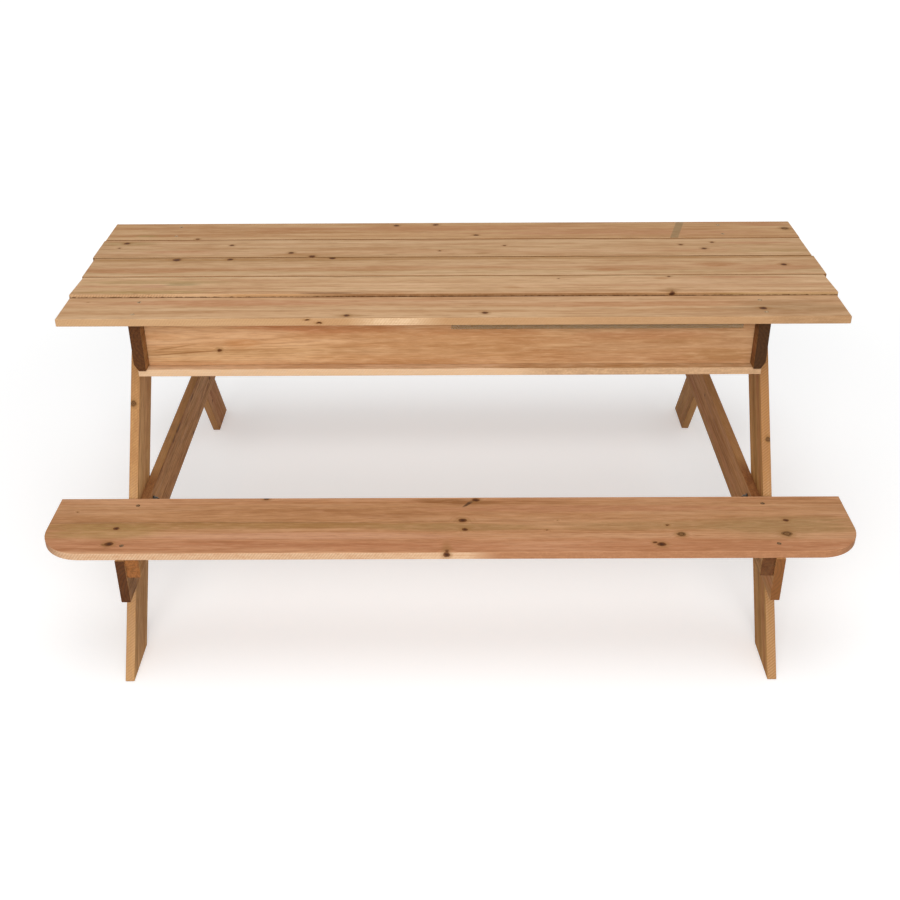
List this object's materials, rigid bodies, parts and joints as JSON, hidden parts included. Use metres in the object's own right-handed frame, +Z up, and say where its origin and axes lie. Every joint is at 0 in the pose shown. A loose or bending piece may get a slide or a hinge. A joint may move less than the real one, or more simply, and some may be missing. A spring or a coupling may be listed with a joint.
{
  "type": "sand and water picnic table",
  "caption": "Wooden children's picnic table with slanting legs and a bench along each side; the middle planks of the top lift off as a lid over tubs for sand and water.",
  "frame": {"origin": "on the floor, below the middle of the table", "axes": "+X along the planks to the right, -Y towards the viewer of the picture, +Z up"},
  "size_m": [1.213, 0.8822, 0.5087],
  "materials": {
    "top_wood": "planed softwood, matte",
    "bench_wood": "planed softwood, matte",
    "frame_wood": "sawn softwood, matte",
    "clear_plastic": "clear thermoformed sheet",
    "nail_steel": "dull steel heads",
    "zinc_steel": "zinc plated"
  },
  "bodies": {
    "table": {"apron_front": "frame_wood", "apron_rear": "frame_wood", "apron_screws": "nail_steel", "bench_front": "bench_wood", "bench_nails": "nail_steel", "bench_rail_bolts": "zinc_steel", "bench_rail_left": "frame_wood", "bench_rail_right": "frame_wood", "bench_rear": "bench_wood", "bolt_nuts": "zinc_steel", "bolt_washers": "zinc_steel", "cleat_front_left": "frame_wood", "cleat_front_right": "frame_wood", "cleat_nails": "nail_steel", "cleat_rear_left": "frame_wood", "cleat_rear_right": "frame_wood", "floor_board_1": "frame_wood", "floor_board_2": "frame_wood", "floor_board_3": "frame_wood", "floor_board_4": "frame_wood", "floor_nails": "nail_steel", "leg_front_left": "frame_wood", "leg_front_right": "frame_wood", "leg_rear_left": "frame_wood", "leg_rear_right": "frame_wood", "sand_tub": "clear_plastic", "top_plank_front": "top_wood", "top_plank_nails": "nail_steel", "top_plank_rear": "top_wood", "top_rail_bolts": "zinc_steel", "top_rail_left": "frame_wood", "top_rail_right": "frame_wood", "water_tub": "clear_plastic"},
    "lid": {"lid_batten_left": "frame_wood", "lid_batten_right": "frame_wood", "lid_plank_front": "top_wood", "lid_plank_middle": "top_wood", "lid_plank_rear": "top_wood", "lid_screws": "nail_steel"}
  },
  "joints": [
    {"name": "lid_lift", "type": "slide", "parent": "table", "child": "lid", "axis": [0, 0, 1], "range_m": [0, 0.3]}
  ]
}
